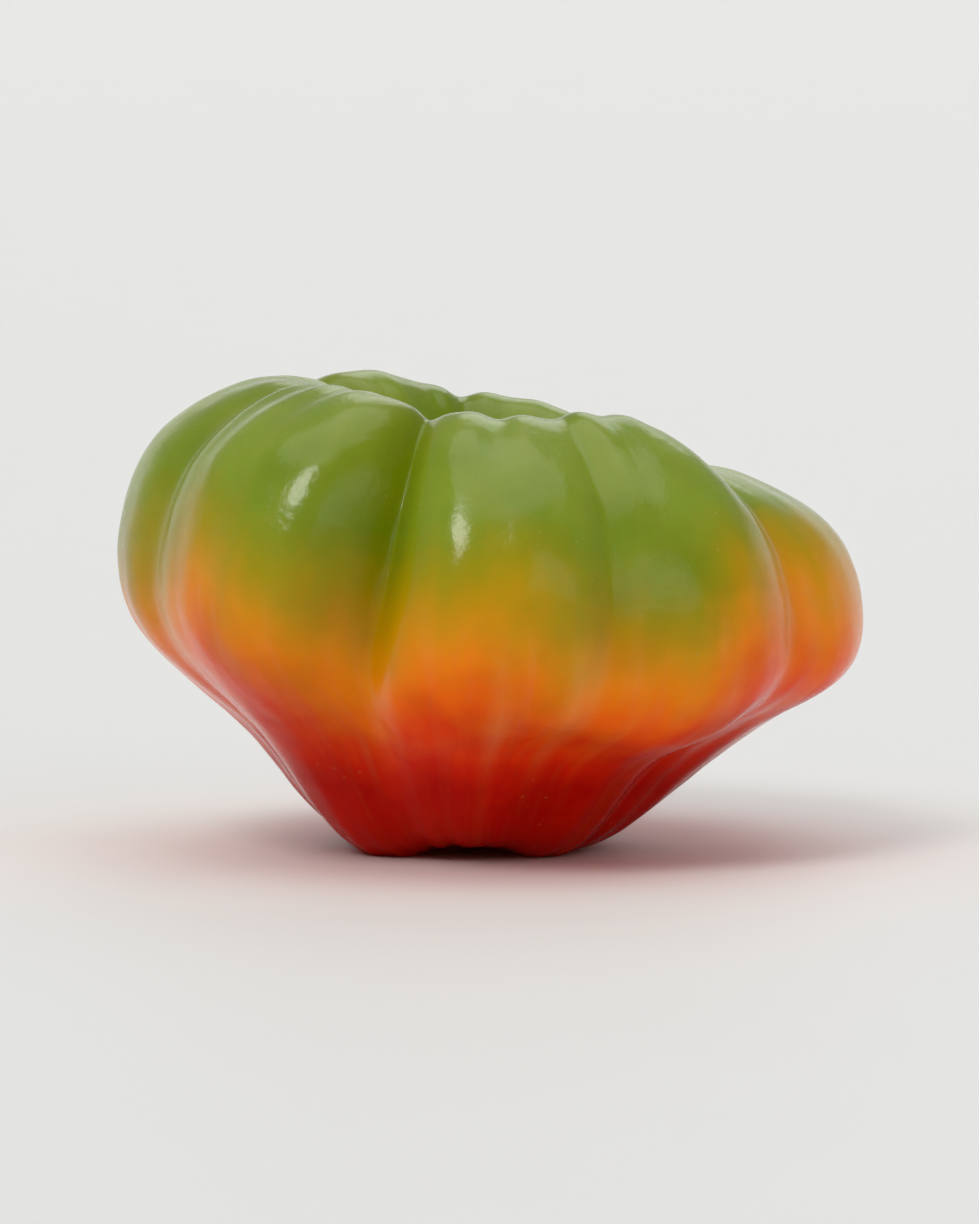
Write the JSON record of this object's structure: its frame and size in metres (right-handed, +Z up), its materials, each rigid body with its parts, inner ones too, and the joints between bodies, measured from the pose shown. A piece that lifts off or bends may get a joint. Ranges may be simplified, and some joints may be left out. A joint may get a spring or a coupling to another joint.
{
  "type": "aji dulce pepper",
  "caption": "Squat lobed sweet pepper, green shoulders ripening to red at the blossom end, with a dried hooked stem in a hollow on top; stands on its blossom end.",
  "frame": {"origin": "on the table, under the middle of the pepper's bounding box", "axes": "+Z up, from the blossom end to the stem end; +X to the right and +Y away from the viewer, as the picture sees the pepper"},
  "size_m": [0.0381, 0.036, 0.0241],
  "materials": {
    "pepper_skin": "smooth waxy skin, green on the shoulders, amber at the brim and red below",
    "dried_stem": "matte dried stalk, tan to grey-brown"
  },
  "bodies": {
    "root": {"fruit": "pepper_skin", "stem": "dried_stem"}
  },
  "joints": []
}
